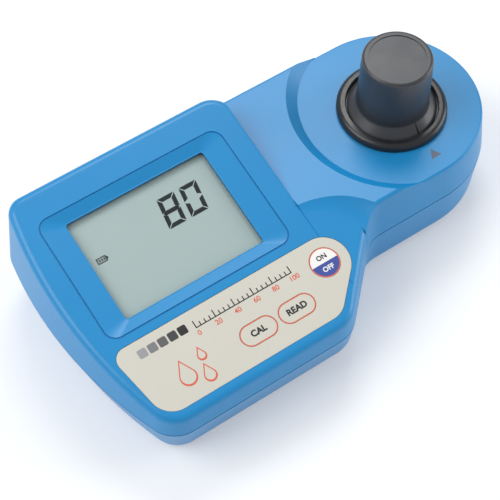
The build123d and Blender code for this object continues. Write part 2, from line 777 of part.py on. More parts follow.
def collar_ring():
    """Rounded black ring on the deck, with the ledge that the cap stands on."""
    top = DECK_Z + COLLAR_HEIGHT
    inside = CAP_FLANGE_R + COLLAR_GAP
    low = HOLDER_TOP_Z + SEAL_HEIGHT
    section = make_face(
        Polyline(
            (COLLAR_R, DECK_Z),
            (COLLAR_R, top),
            (inside + COLLAR_LIP_EDGE, top),
            (inside, top - COLLAR_LIP_EDGE),
            (inside, COLLAR_LEDGE_Z),
            (COLLAR_BORE_R, COLLAR_LEDGE_Z),
            (COLLAR_BORE_R, low),
            (COLLAR_SKIRT_R, low),
            (COLLAR_SKIRT_R, DECK_Z),
            close=True,
        )
    )
    section = round_corners(section, [(COLLAR_R, top, COLLAR_ROUND)])
    return well() * revolve(Plane.XZ * section, Axis.Z)


def shield_cap():
    """Tall hollow cap with a conical flange, an index notch and a shallow step in its top."""
    flange_top = CAP_LOW_Z + CAP_FLANGE_EDGE
    foot_z = flange_top + CAP_FLANGE_RISE
    outer = make_face(
        Polyline(
            (0, CAP_LOW_Z),
            (CAP_FLANGE_R, CAP_LOW_Z),
            (CAP_FLANGE_R, flange_top - CAP_FLANGE_CUT),
            (CAP_FLANGE_R - CAP_FLANGE_CUT, flange_top),
            (CAP_BASE_R, foot_z),
            (CAP_TOP_R, CAP_TOP_Z),
            (0, CAP_TOP_Z),
            close=True,
        )
    )
    outer = round_corners(
        outer,
        [
            (CAP_BASE_R, foot_z, CAP_FILLET_R),
            (CAP_TOP_R, CAP_TOP_Z, CAP_EDGE_R),
        ],
    )
    body = revolve(Plane.XZ * outer, Axis.Z)
    bore_height = CAP_TOP_Z - CAP_ROOF - CAP_LOW_Z
    body = body - Pos(0, 0, CAP_LOW_Z + bore_height / 2) * Cylinder(CAP_BORE_R, bore_height)
    rim = CAP_TOP_R - CAP_EDGE_R - CAP_TOP_RIM
    body = body - Pos(0, 0, CAP_TOP_Z) * Cylinder(rim, 2 * CAP_TOP_STEP)
    notch_z = CAP_LOW_Z + CAP_FLANGE_EDGE + CAP_FLANGE_RISE / 2
    slope = 90 - 180 / pi * (CAP_FLANGE_RISE / (CAP_FLANGE_R - CAP_BASE_R))
    notch = Pos(0, -(CAP_FLANGE_R + CAP_BASE_R) / 2, notch_z) * Rot(-slope, 0, 0)
    body = body - notch * Box(CAP_NOTCH_WIDTH, 2 * CAP_NOTCH_DEPTH, CAP_FLANGE_RISE + 1.4)
    return well() * body


def well_seal():
    """Rubber ring between the holder and the collar."""
    outer_r = COLLAR_SKIRT_R - 0.5
    ring = Cylinder(outer_r, SEAL_HEIGHT) - Cylinder(COLLAR_BORE_R, SEAL_HEIGHT)
    return well(HOLDER_TOP_Z + SEAL_HEIGHT / 2) * ring


def arm(length, direction):
    """Square arm of the holder along the light path, from the well outwards."""
    reach = HOLDER_R + length
    return well(OPTIC_Z) * Pos(direction * reach / 2, 0, 0) * Box(reach, ARM_SIZE, ARM_SIZE)


def path_bore(radius, start, end):
    """Round space along the light path between two distances from the well axis."""
    return well(OPTIC_Z) * Pos((start + end) / 2, 0, 0) * Rot(0, 90, 0) * Cylinder(radius, abs(end - start))


def lamp_end():
    """Distance of the lamp arm's outer end from the well axis, to the left."""
    return -(HOLDER_R + LAMP_ARM)


def detector_end():
    """Distance of the detector arm's outer end from the well axis, to the right."""
    return HOLDER_R + DETECTOR_ARM


def cuvette_holder():
    """Black block with the well, the two optical arms and two screwed lugs."""
    height = HOLDER_TOP_Z - HOLDER_BASE_Z
    body = well(HOLDER_BASE_Z + height / 2) * Cylinder(HOLDER_R, height)
    body = body + arm(LAMP_ARM, -1) + arm(DETECTOR_ARM, 1)
    for side in (-1, 1):
        lug_place = well(HOLDER_BASE_Z + HOLDER_LUG_T / 2) * Pos(0, side * HOLDER_LUG_Y, 0)
        bridge = well(HOLDER_BASE_Z + HOLDER_LUG_T / 2) * Pos(0, side * HOLDER_LUG_Y / 2, 0)
        body = body + lug_place * Cylinder(HOLDER_LUG_R, HOLDER_LUG_T)
        body = body + bridge * Box(2 * HOLDER_LUG_R, HOLDER_LUG_Y, HOLDER_LUG_T)
        body = body - lug_place * Cylinder(BOARD_SCREW_R + SCREW_CLEAR, HOLDER_LUG_T)
    well_height = HOLDER_TOP_Z - WELL_FLOOR_Z
    body = body - well(WELL_FLOOR_Z + well_height / 2) * Cylinder(WELL_R, well_height)
    body = body - path_bore(BEAM_R, lamp_end(), detector_end())
    body = body - path_bore(LENS_ROUND_R + OPTIC_CLEAR, lamp_end(), -(HOLDER_R + 1.0))
    return body - path_bore(FILTER_R + OPTIC_CLEAR, HOLDER_R + 1.0, detector_end())


def lamp_lens():
    """Small lens between lamp and well."""
    start = -(HOLDER_R + 1.0)
    lens = path_bore(LENS_ROUND_R, start - LENS_ROUND_T, start)
    return chamfer(lens.edges().filter_by(GeomType.CIRCLE), LENS_ROUND_EDGE)


def lamp():
    """Lamp with its round nose in a collar that fills the arm's bore."""
    start = -(HOLDER_R + 1.0) - LENS_ROUND_T - 0.5
    bulb = path_bore(LAMP_R, start - LAMP_LENGTH, start)
    bulb = chamfer(bulb.edges().filter_by(GeomType.CIRCLE).sort_by(Axis.X)[-1], LAMP_R / 2)
    socket = path_bore(LENS_ROUND_R, lamp_end() - 1.0, start - LAMP_LENGTH + 3.0)
    pins = [
        well(OPTIC_Z) * Pos(lamp_end() - 3.0, side * 1.3, 0) * Rot(0, 90, 0) * Cylinder(0.35, 4.2)
        for side in (-1, 1)
    ]
    return bulb + socket + pins[0] + pins[1]


def interference_filter():
    """Narrow-band filter before the photocell."""
    start = HOLDER_R + 1.0
    return path_bore(FILTER_R, start, start + FILTER_T)


def photocell():
    """Light sensor in a round can."""
    start = HOLDER_R + 1.0 + FILTER_T + 0.2
    can = path_bore(PHOTOCELL_R, start, start + PHOTOCELL_T)
    brim = path_bore(PHOTOCELL_R - 0.4, start + PHOTOCELL_T, detector_end())
    return can + brim


def detector_board():
    """Small upright board behind the photocell, screwed to the arm's end."""
    size = DETECTOR_BOARD_SIZE
    place = well(OPTIC_Z) * Pos(detector_end() + DETECTOR_BOARD_T / 2, 0, 0)
    return place * Box(DETECTOR_BOARD_T, size, size)


def holder_screws():
    """Two screws through the lugs of the holder."""
    screws = []
    top = HOLDER_BASE_Z + HOLDER_LUG_T
    low = FLOOR_Z + 0.4
    for side in (-1, 1):
        shank = well((top + low) / 2) * Cylinder(BOARD_SCREW_R, top - low)
        head = well(top + BOARD_SCREW_HEAD_T / 2) * Cylinder(BOARD_SCREW_HEAD_R, BOARD_SCREW_HEAD_T)
        slot = well(top + BOARD_SCREW_HEAD_T) * Box(3.2, 0.6, 1.0)
        screws.append(Pos(0, side * HOLDER_LUG_Y, 0) * (shank + head - slot))
    return Compound(screws)


def cuvette():
    """Glass vial with a shoulder and a neck."""
    low = WELL_FLOOR_Z
    outer = make_face(
        Polyline(
            (0, low),
            (CUVETTE_R - CUVETTE_FOOT, low),
            (CUVETTE_R, low + CUVETTE_FOOT),
            (CUVETTE_R, CUVETTE_SHOULDER_Z),
            (CUVETTE_NECK_R, CUVETTE_NECK_Z),
            (CUVETTE_NECK_R, CUVETTE_TOP_Z),
            (0, CUVETTE_TOP_Z),
            close=True,
        )
    )
    wall = CUVETTE_WALL
    inner = make_face(
        Polyline(
            (0, low + 1.5 * wall),
            (CUVETTE_R - wall, low + 1.5 * wall),
            (CUVETTE_R - wall, CUVETTE_SHOULDER_Z - wall / 2),
            (CUVETTE_NECK_R - wall, CUVETTE_NECK_Z - wall / 2),
            (CUVETTE_NECK_R - wall, CUVETTE_TOP_Z),
            (0, CUVETTE_TOP_Z),
            close=True,
        )
    )
    return well() * (revolve(Plane.XZ * outer, Axis.Z) - revolve(Plane.XZ * inner, Axis.Z))


def cuvette_stopper():
    """Ribbed screw cap of the vial."""
    low = STOPPER_LOW_Z
    body = Pos(0, 0, low + STOPPER_HEIGHT / 2) * Cylinder(STOPPER_R, STOPPER_HEIGHT)
    body = chamfer(body.edges().filter_by(GeomType.CIRCLE).sort_by(Axis.Z)[-1], STOPPER_EDGE)
    depth = CUVETTE_TOP_Z + 2 * STOPPER_CLEAR - low
    body = body - Pos(0, 0, low + depth / 2) * Cylinder(CUVETTE_NECK_R + STOPPER_CLEAR, depth)
    rib_height = STOPPER_HEIGHT - 2 * STOPPER_RIB_END
    rib = Pos(STOPPER_R, 0, low + STOPPER_HEIGHT / 2) * Box(STOPPER_RIB, STOPPER_RIB, rib_height)
    for i in range(STOPPER_RIBS):
        body = body + Rot(0, 0, 360 / STOPPER_RIBS * i) * rib
    return well() * body


def battery_place(z=0.0):
    """Middle of the battery; the clip takes the space at its right end."""
    return Pos(BATTERY_X - (SNAP_DEPTH + BATTERY_CLEAR) / 2, BATTERY_Y, BATTERY_Z + z)


def battery():
    """Nine-volt block with its two terminals."""
    block = battery_place(BATTERY_HEIGHT / 2) * Box(BATTERY_LENGTH, BATTERY_WIDTH, BATTERY_HEIGHT)
    block = fillet(block.edges().filter_by(Axis.X), BATTERY_EDGE_R)
    for side in (-1, 1):
        end = battery_place(BATTERY_HEIGHT / 2) * Pos(BATTERY_LENGTH / 2, side * TERMINAL_PITCH / 2, 0)
        block = block + end * Rot(0, 90, 0) * Pos(0, 0, TERMINAL_HEIGHT / 2) * Cylinder(TERMINAL_R, TERMINAL_HEIGHT)
    return block


def battery_snap():
    """Moulded clip over the terminals."""
    end = battery_place(BATTERY_HEIGHT / 2) * Pos(BATTERY_LENGTH / 2, 0, 0)
    body = end * Pos(SNAP_DEPTH / 2 + SNAP_CLEAR, 0, 0) * Box(SNAP_DEPTH - 2 * SNAP_CLEAR, SNAP_WIDTH, SNAP_HEIGHT)
    body = fillet(body.edges().filter_by(Axis.X), SNAP_EDGE_R)
    for side in (-1, 1):
        room = end * Pos(TERMINAL_HEIGHT / 2, side * TERMINAL_PITCH / 2, 0) * Rot(0, 90, 0)
        body = body - room * Cylinder(TERMINAL_R + SNAP_CLEAR, TERMINAL_HEIGHT + 3 * SNAP_CLEAR)
    return body


def battery_leads():
    """Two wires from the clip up to the board."""
    wires = []
    snap_x = battery_place().position.X + BATTERY_LENGTH / 2 + SNAP_DEPTH / 2
    top_z = BATTERY_Z + BATTERY_HEIGHT / 2 + 6.0
    for side in (-1, 1):
        y = BATTERY_Y + side * 2.0
        tilt = radians(DISPLAY_TILT)
        v = (y - FRONT_Y + (BOARD_DEPTH + BOARD_T) * sin(-tilt)) / cos(tilt)
        board_z = DISPLAY_FRONT_Z + v * sin(tilt) - (BOARD_DEPTH + BOARD_T) * cos(tilt)
        length = board_z - top_z - 0.3
        wires.append(Pos(snap_x, y, top_z + length / 2) * Cylinder(LEAD_R, length))
    return Compound(wires)


def battery_cover():
    """Round twist cover with a coin slot and two lugs that grip the floor."""
    centre = Pos(BATTERY_X, BATTERY_Y, 0)
    plate_z = FOOT_HEIGHT + COVER_PLATE_T / 2
    body = Pos(0, 0, plate_z) * Cylinder(COVER_PLATE_R, COVER_PLATE_T)
    hub_top = FLOOR_Z + COVER_CLEAR
    hub_low = FOOT_HEIGHT + COVER_PLATE_T
    body = body + Pos(0, 0, (hub_low + hub_top) / 2) * Cylinder(COVER_HUB_R, hub_top - hub_low)
    lugs = lug_sector(COVER_LUG_R, 0.0, COVER_LUG_T)
    body = body + Pos(0, 0, hub_top + COVER_LUG_T / 2) * lugs
    body = body - Pos(0, 0, FOOT_HEIGHT) * Box(COVER_SLOT_LENGTH, COVER_SLOT_WIDTH, 2 * COVER_SLOT_DEPTH)
    core = Pos(0, 0, hub_top + COVER_LUG_T / 2) * Cylinder(COVER_HUB_R - 3.0, COVER_LUG_T)
    return centre * (body - core)


def battery_pad():
    """Foam pad on the cover below the battery."""
    low = FLOOR_Z + COVER_CLEAR
    height = BATTERY_Z - PAD_CLEAR - low
    return Pos(BATTERY_X, BATTERY_Y, low + height / 2) * Box(PAD_LENGTH, PAD_WIDTH, height)


def case_screws():
    """Screws from below through the lower casing into the posts of the cover."""
    screws = []
    head_low = FOOT_HEIGHT + SCREW_SINK
    tip = COVER_Z + SCREW_BITE
    for x, y in CASE_SCREWS:
        head = Pos(x, y, head_low + SCREW_HEAD_T / 2) * Cylinder(SCREW_HEAD_R, SCREW_HEAD_T)
        head = chamfer(head.edges().filter_by(GeomType.CIRCLE).sort_by(Axis.Z)[0], SCREW_HEAD_EDGE)
        shank = Pos(x, y, (head_low + tip) / 2) * Cylinder(SCREW_R, tip - head_low)
        cross = Pos(x, y, head_low) * (
            Box(CROSS_LENGTH, CROSS_WIDTH, 2 * CROSS_DEPTH) + Box(CROSS_WIDTH, CROSS_LENGTH, 2 * CROSS_DEPTH)
        )
        screws.append(head + shank - cross)
    return Compound(screws)


def feet():
    """Rubber feet, each sunk a little into the lower casing."""
    pads = []
    height = FOOT_HEIGHT + FOOT_SINK
    for x, y in FEET:
        pad = Pos(x, y, height / 2) * Cylinder(FOOT_R, height)
        pads.append(chamfer(pad.edges().filter_by(GeomType.CIRCLE).sort_by(Axis.Z)[0], FOOT_EDGE))
    return Compound(pads)


PARTS = {
    "top_cover": top_cover,
    "bottom_shell": bottom_shell,
    "seam_gasket": seam_gasket,
    "index_mark": index_mark,
    "display_lens": display_lens,
    "lcd_glass": lcd_glass,
    "lcd_frame": lcd_frame,
    "lcd_connectors": lcd_connectors,
    "main_board": main_board,
    "board_parts": board_parts,
    "board_screws": board_screws,
    "keypad_overlay": keypad_overlay,
    "power_key": lambda: key("power_key"),
    "cal_key": lambda: key("cal_key"),
    "read_key": lambda: key("read_key"),
    "keypad_membrane": keypad_membrane,
    "snap_domes": snap_domes,
    "keypad_tail": keypad_tail,
    "collar_ring": collar_ring,
    "shield_cap": shield_cap,
    "well_seal": well_seal,
    "cuvette_holder": cuvette_holder,
    "holder_screws": holder_screws,
    "cuvette": cuvette,
    "cuvette_stopper": cuvette_stopper,
    "lamp": lamp,
    "lamp_lens": lamp_lens,
    "interference_filter": interference_filter,
    "photocell": photocell,
    "detector_board": detector_board,
    "battery": battery,
    "battery_snap": battery_snap,
    "battery_leads": battery_leads,
    "battery_cover": battery_cover,
    "battery_pad": battery_pad,
    "case_screws": case_screws,
    "feet": feet,
}

os.makedirs("parts", exist_ok=True)
for name, make in PARTS.items():
    export_step(make(), f"parts/{name}.step")
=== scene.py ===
"""Looks of a portable colorimeter: casing, printed keypad, display, sample well fittings and stage."""

from math import cos, pi, radians, sin

import bpy
from bpy.props import FloatProperty, FloatVectorProperty, PointerProperty, StringProperty
from mathutils import Matrix, Vector
from mathutils.geometry import tessellate_polygon


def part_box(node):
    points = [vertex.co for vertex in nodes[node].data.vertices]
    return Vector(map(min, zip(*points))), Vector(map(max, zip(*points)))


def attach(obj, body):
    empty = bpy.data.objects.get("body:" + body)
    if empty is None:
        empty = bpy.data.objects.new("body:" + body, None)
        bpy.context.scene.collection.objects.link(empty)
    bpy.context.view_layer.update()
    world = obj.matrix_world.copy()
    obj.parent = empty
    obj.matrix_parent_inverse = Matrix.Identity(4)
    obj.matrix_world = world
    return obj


bl_info = {
    "name": "Portable colorimeter",
    "version": (1, 0, 0),
    "blender": (4, 5, 0),
    "location": "3D View > Sidebar > Colorimeter",
    "description": "Dresses the packed colorimeter and sets up its stage",
    "category": "Object",
}

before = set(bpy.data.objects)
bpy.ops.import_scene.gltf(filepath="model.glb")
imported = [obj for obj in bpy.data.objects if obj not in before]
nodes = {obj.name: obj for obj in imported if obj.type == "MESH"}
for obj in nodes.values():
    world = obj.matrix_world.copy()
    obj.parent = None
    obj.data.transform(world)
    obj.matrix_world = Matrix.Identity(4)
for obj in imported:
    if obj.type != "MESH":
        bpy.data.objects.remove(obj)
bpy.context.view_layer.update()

MM = 0.001

# Tilted display face: places on it are given along it and up it, in millimetres
DISPLAY_TILT = radians(12.0)
DISPLAY_FRONT = Vector((0.0, -52.0 * MM, 31.8 * MM))
FILM_DEPTH = 0.15
GLASS_DEPTH = 4.2
INK_LIFT = 0.012
INK_T = 0.02

# Keys
POWER_KEY = (-2.4, 24.4)
POWER_KEY_R = 5.8
ON_RISE = 2.2
OFF_DROP = 2.5
ON_OFF_HEIGHT = 1.9
PILL_KEYS = {"cal": (-37.4, 15.0), "read": (-21.0, 15.0)}
PILL_LENGTH = 14.8
PILL_WIDTH = 8.2
PILL_LEGEND_HEIGHT = 2.4
PILL_LEGEND_WEIGHT = 0.055

# Ruled scale on the film
SCALE_LEFT = -55.6
SCALE_RIGHT = -15.2
SCALE_LEVEL = 27.2
SCALE_LINE = 0.4
SCALE_DIVISIONS = 20
SCALE_LONG_EVERY = 4
SCALE_LONG_TICK = 2.6
SCALE_SHORT_TICK = 1.4
SCALE_END_NUMBER = 100
SCALE_NUMBER_HEIGHT = 2.0
SCALE_NUMBER_DROP = 2.0
SCALE_NUMBER_WEIGHT = 0.02

# Row of patches on the film
PATCH_COUNT = 5
PATCH_LEFT = -78.4
PATCH_LOW = 27.4
PATCH_SIZE = 3.4
PATCH_PITCH = 4.1
PATCH_CORNER_R = 0.6
PATCH_LIGHTEST = 150
PATCH_STEP = 30

# Drops on the film: a place and a size each
DROPS = (((-67.6, 15.2), 6.6), ((-60.6, 11.4), 4.8), ((-59.4, 18.6), 3.6))
DROP_LINE_SHARE = 2.4

# Figures and the battery sign on the display
DIGIT_LEFT = -42.6
DIGIT_LOW = 65.0
DIGIT_PITCH = 9.5
DIGIT_WIDTH_SHARE = 0.6
DIGIT_STROKE = 1.7
DIGIT_SLANT = 0.15
DIGIT_GAP_SHARE = 0.14
LIT_BARS = {
    "0": "abcdef",
    "1": "bc",
    "2": "abged",
    "3": "abgcd",
    "4": "fgbc",
    "5": "afgcd",
    "6": "afgedc",
    "7": "abc",
    "8": "abcdefg",
    "9": "abcdfg",
}
CELL_LEFT = -71.8
CELL_RIGHT = -67.8
CELL_LOW = 66.2
CELL_HIGH = 68.6
CELL_LINE = 0.4
CELL_BAR_INSET = 0.8
CELL_BAR_MARGIN = 0.7
CELL_BAR_WIDTH = 0.6
CELL_BAR_PITCH = 1.0
CELL_BARS = 3
CELL_TIP = 0.5

# Band round the battery, from its left end
BATTERY_BAND_START = 32
BATTERY_BAND_END = 44

# Steps of round outlines
ARC_STEPS = 24
CIRCLE_STEPS = 64
HALF_CIRCLE_STEPS = 40
CORNER_STEPS = 6

# Font size that makes capitals one unit high
FONT_SIZE_SHARE = 1.38

# Stage, in metres
FLOOR_HALF = 4.0
FLOOR_GLOW = 0.25
LAMP_TARGET = (0.0, 0.0, 0.03)
KEY_LAMP_PLACE = (0.42, 0.68, 1.15)
KEY_LAMP_SIZE = 0.55
FILL_LAMP_PLACE = (-0.8, 0.3, 0.95)
FILL_LAMP_SIZE = 0.9
SIDE_LAMP_PLACE = (0.95, -0.35, 0.35)
SIDE_LAMP_SIZE = 0.6
ROOM_COLOUR = (0.96, 0.98, 1.0, 1.0)
CAMERA_LENS = 105.84
CAMERA_SENSOR = 36.0
CAMERA_NEAR = 0.01
CAMERA_AZIMUTH = radians(-34.0)
CAMERA_ELEVATION = radians(57.7)
CAMERA_PLACE = Vector((-181.1, -244.8, 487.3)) * MM

# Sockets of the colour mix node
MIX_FIRST = 6
MIX_SECOND = 7
MIX_RESULT = 2


def srgb(red, green, blue):
    """Linear colour from the 0 to 255 values of a screen colour."""

    def linear(value):
        share = value / 255
        return share / 12.92 if share <= 0.04045 else ((share + 0.055) / 1.055) ** 2.4

    return (linear(red), linear(green), linear(blue))


class Socket:
    """Output of a shader node that takes part in sums."""

    def __init__(self, paint, output):
        self.paint = paint
        self.output = output

    def maths(self, operation, first, second):
        return self.paint.node("ShaderNodeMath", {"operation": operation}, {0: first, 1: second})

    def __add__(self, other):
        return self.maths("ADD", self, other)

    def __radd__(self, other):
        return self.maths("ADD", other, self)

    def __sub__(self, other):
        return self.maths("SUBTRACT", self, other)

    def __rsub__(self, other):
        return self.maths("SUBTRACT", other, self)

    def __mul__(self, other):
        return self.maths("MULTIPLY", self, other)

    def __rmul__(self, other):
        return self.maths("MULTIPLY", other, self)

    def __gt__(self, other):
        return self.maths("GREATER_THAN", self, other)

    def __lt__(self, other):
        return self.maths("LESS_THAN", self, other)

    def __pow__(self, other):
        return self.maths("POWER", self, other)

    def larger(self, other):
        return self.maths("MAXIMUM", self, other)


class Paint:
    """A material whose nodes are added one call at a time."""

    def __init__(self, name):
        self.material = bpy.data.materials.new(name)
        self.material.use_nodes = True
        self.tree = self.material.node_tree
        self.tree.nodes.clear()

    def node(self, kind, settings=None, inputs=None, output=0):
        """Adds a node: its settings first, then the values or links of its inputs."""
        node = self.tree.nodes.new(kind)
        for name, value in (settings or {}).items():
            setattr(node, name, value)
        for key, value in (inputs or {}).items():
            if isinstance(value, Socket):
                self.tree.links.new(value.output, node.inputs[key])
            else:
                node.inputs[key].default_value = value
        return Socket(self, node.outputs[output]) if node.outputs else None

    def place(self, stretch=(1.0, 1.0, 1.0)):
        """Position on the object in millimetres, stretched along each axis."""
        where = self.node("ShaderNodeTexCoord", output="Object")
        scale = tuple(1 / MM * share for share in stretch)
        return self.node("ShaderNodeVectorMath", {"operation": "MULTIPLY"}, {0: where, 1: scale})

    def noise(self, size, detail=2.0, stretch=(1.0, 1.0, 1.0)):
        """Soft random value between 0 and 1 with features of a size in millimetres."""
        inputs = {"Vector": self.place(stretch), "Scale": 1 / size, "Detail": detail}
        return self.node("ShaderNodeTexNoise", {}, inputs)

    def mix(self, factor, first, second):
        """Colour between two colours."""
        inputs = {0: factor, MIX_FIRST: (*first, 1.0), MIX_SECOND: (*second, 1.0)}
        return self.node("ShaderNodeMix", {"data_type": "RGBA"}, inputs, MIX_RESULT)

    def shades(self, factor, colour, darkest, lightest):
        """Colour that runs between two shades of itself."""
        return self.mix(factor, shade(colour, darkest), shade(colour, lightest))

    def bump(self, height, depth):
        """Surface direction after small raised features of a depth in millimetres."""
        return self.node("ShaderNodeBump", {}, {"Height": height, "Distance": depth * MM})

    def finish(self, **inputs):
        """Ends the material in one surface shader; its inputs are named with underscores."""
        named = {key.replace("_", " "): value for key, value in inputs.items()}
        if isinstance(named["Base Color"], tuple):
            named["Base Color"] = (*named["Base Color"], 1.0)
        surface = self.node("ShaderNodeBsdfPrincipled", {}, named)
        self.node("ShaderNodeOutputMaterial", {}, {"Surface": surface})
        return self.material


def shade(colour, share):
    """A colour made darker or lighter."""
    return tuple(min(1.0, value * share) for value in colour)


def swing(source, spread):
    """Variation of a spread around zero, from a value between 0 and 1."""
    return (source - 0.5) * spread


def moulded_plastic(name, colour, roughness, grain=0.35, relief=0.012):
    """Injection-moulded plastic with a spark-eroded grain and faint flow marks."""
    paint = Paint(name)
    flow = paint.noise(size=26.0, detail=3.0)
    fine = paint.noise(size=grain)
    cell_size = grain * 1.8
    cells = paint.node(
        "ShaderNodeTexVoronoi",
        {"feature": "SMOOTH_F1"},
        {"Vector": paint.place(), "Scale": 1 / cell_size, "Smoothness": 0.6},
    )
    return paint.finish(
        Base_Color=paint.shades(flow * 0.7 + fine * 0.3, colour, darkest=0.94, lightest=1.06),
        Roughness=roughness + swing(fine, 0.12) + swing(flow, 0.05),
        Normal=paint.bump(fine * 0.6 + cells * 0.4, relief),
    )


def satin_black(name, colour, roughness):
    """Dark satin plastic with fine turned lines round the well's axis and light handling marks."""
    paint = Paint(name)
    fine = paint.noise(size=0.3)
    lines = paint.noise(size=0.35, stretch=(0.12, 0.12, 1.0))
    wear = paint.noise(size=7.0, detail=4.0)
    return paint.finish(
        Base_Color=paint.shades(fine * 0.5 + wear * 0.5, colour, darkest=0.75, lightest=1.35),
        Roughness=roughness + swing(wear, 0.16) + swing(fine, 0.08),
        Normal=paint.bump(fine * 0.5 + lines * 0.5, depth=0.01),
    )


def printed_film(name, colour):
    """Screen-printed polyester film with a velvet top."""
    paint = Paint(name)
    fleck = paint.noise(size=0.12)
    cloud = paint.noise(size=14.0)
    return paint.finish(
        Base_Color=paint.shades(fleck * 0.5 + cloud * 0.5, colour, darkest=0.965, lightest=1.03),
        Roughness=0.5 + swing(fleck, 0.15),
        Normal=paint.bump(fleck, depth=0.006),
    )


def ink(name, colour, gloss=0.5):
    """Screen ink of slightly uneven density."""
    paint = Paint(name)
    fleck = paint.noise(size=0.18)
    return paint.finish(
        Base_Color=paint.shades(fleck, colour, darkest=0.9, lightest=1.1),
        Roughness=0.5 + swing(fleck, 0.1),
        Specular_IOR_Level=gloss,
        Normal=paint.bump(fleck, depth=0.003),
    )


def clear_plastic(name, alpha, roughness=0.04):
    """Thin clear sheet that shows what lies behind it under faint reflections."""
    paint = Paint(name)
    haze = paint.noise(size=9.0, detail=3.0)
    return paint.finish(
        Base_Color=(0.35, 0.38, 0.39),
        Roughness=roughness + haze * 0.04,
        Alpha=alpha + swing(haze, 0.02),
    )


def solid_glass(name, colour, alpha):
    """Glass of the vial and the optical parts, with faint draw lines."""
    paint = Paint(name)
    lines = paint.noise(size=1.6, stretch=(1.0, 1.0, 0.08))
    return paint.finish(
        Base_Color=colour,
        Roughness=0.03 + lines * 0.05,
        Alpha=alpha + swing(lines, 0.06),
        Normal=paint.bump(lines, depth=0.01),
        Coat_Weight=0.4,
    )


def display_glass(name, colour):
    """Grey-green display with a matte polariser and a very fine cell pattern."""
    paint = Paint(name)
    fleck = paint.noise(size=0.2)
    cloud = paint.noise(size=40.0)
    return paint.finish(
        Base_Color=paint.shades(fleck * 0.4 + cloud * 0.6, colour, darkest=0.95, lightest=1.05),
        Roughness=0.45 + swing(fleck, 0.12),
        Normal=paint.bump(fleck, depth=0.004),
    )


def plated_steel(name, colour, roughness=0.28):
    """Zinc-plated steel with turned and brushed marks."""
    paint = Paint(name)
    brushed = paint.noise(size=0.16, detail=3.0, stretch=(1.0, 0.15, 1.0))
    cloud = paint.noise(size=2.5)
    return paint.finish(
        Base_Color=paint.shades(cloud, colour, darkest=0.85, lightest=1.1),
        Metallic=1.0,
        Roughness=roughness + swing(brushed, 0.2),
        Normal=paint.bump(brushed, depth=0.006),
    )


def soft_rubber(name, colour):
    """Matte rubber with a dusty bloom."""
    paint = Paint(name)
    dust = paint.noise(size=1.8, detail=5.0)
    fine = paint.noise(size=0.15)
    return paint.finish(
        Base_Color=paint.shades(dust ** 2.0, colour, darkest=1.0, lightest=2.2),
        Roughness=0.78 + swing(fine, 0.2),
        Normal=paint.bump(fine, depth=0.02),
    )


def contact_rubber(name, dark, light):
    """Contact strip whose carbon layers alternate with insulating ones."""
    paint = Paint(name)
    wave = paint.node(
        "ShaderNodeTexWave",
        {"wave_type": "BANDS", "bands_direction": "X"},
        {"Vector": paint.place(), "Scale": 1.6, "Distortion": 0.2},
        "Fac",
    )
    band = wave > 0.5
    return paint.finish(
        Base_Color=paint.mix(band, dark, light),
        Roughness=0.65 + band * 0.1,
        Normal=paint.bump(wave, depth=0.02),
    )


def circuit_board(name, mask, copper):
    """Solder mask over copper tracks, with a weave from the glass cloth below."""
    paint = Paint(name)
    tracks = paint.node(
        "ShaderNodeTexBrick",
        {"offset": 0.5},
        {"Vector": paint.place(), "Scale": 0.11, "Mortar Size": 0.03, "Mortar Smooth": 0.1},
        "Fac",
    )
    weave = paint.noise(size=0.5, detail=1.0, stretch=(1.0, 0.4, 1.0))
    return paint.finish(
        Base_Color=paint.mix(tracks, mask, copper),
        Roughness=0.34 + swing(weave, 0.15),
        Normal=paint.bump(tracks * 0.7 + weave * 0.3, depth=0.03),
    )


def foam(name, colour):
    """Open-cell foam."""
    paint = Paint(name)
    cells = paint.node("ShaderNodeTexVoronoi", {}, {"Vector": paint.place(), "Scale": 1.4})
    return paint.finish(
        Base_Color=paint.shades(cells, colour, darkest=0.5, lightest=1.8),
        Roughness=0.95 - cells * 0.05,
        Normal=paint.bump(cells, depth=0.2),
    )


def banded_wrap(name, body, band, low, high):
    """Lacquered wrap of the battery with one plain band round it."""
    paint = Paint(name)
    x = paint.node("ShaderNodeSeparateXYZ", {}, {0: paint.place()}, "X")
    inside = (x > low) * (x < high)
    scuff = paint.noise(size=3.0, detail=4.0)
    return paint.finish(
        Base_Color=paint.mix(inside, body, band),
        Metallic=0.3 + inside * 0.5,
        Roughness=0.3 + scuff * 0.15,
        Normal=paint.bump(scuff, depth=0.01),
    )


def coat_node(name, material):
    """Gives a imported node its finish."""
    slots = nodes[name].data.materials
    slots.clear()
    slots.append(material)


def on_display(point, depth):
    """World place of a point (u, v) in millimetres on the tilted face, at a depth below it."""
    u, v = point
    along = Vector((1.0, 0.0, 0.0)) * (u * MM)
    up = Vector((0.0, cos(DISPLAY_TILT), sin(DISPLAY_TILT))) * (v * MM)
    down = Vector((0.0, sin(DISPLAY_TILT), -cos(DISPLAY_TILT))) * (depth * MM)
    return DISPLAY_FRONT + along + up + down


def display_matrix(centre, depth):
    """Turns flat work in metres into its place on the tilted face."""
    return Matrix.Translation(on_display(centre, depth)) @ Matrix.Rotation(DISPLAY_TILT, 4, "X")


def piece_from(name, mesh, material, body):
    """Puts a mesh on its body with its finish."""
    piece = bpy.data.objects.new(name, mesh)
    bpy.context.scene.collection.objects.link(piece)
    mesh.materials.append(material)
    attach(piece, body)
    return piece


def anticlockwise(points, corners):
    """The corners of a triangle in the order that faces it up."""
    (ax, ay), (bx, by), (cx, cy) = [points[corner] for corner in corners]
    turn = (bx - ax) * (cy - ay) - (by - ay) * (cx - ax)
    return corners if turn > 0 else (corners[0], corners[2], corners[1])


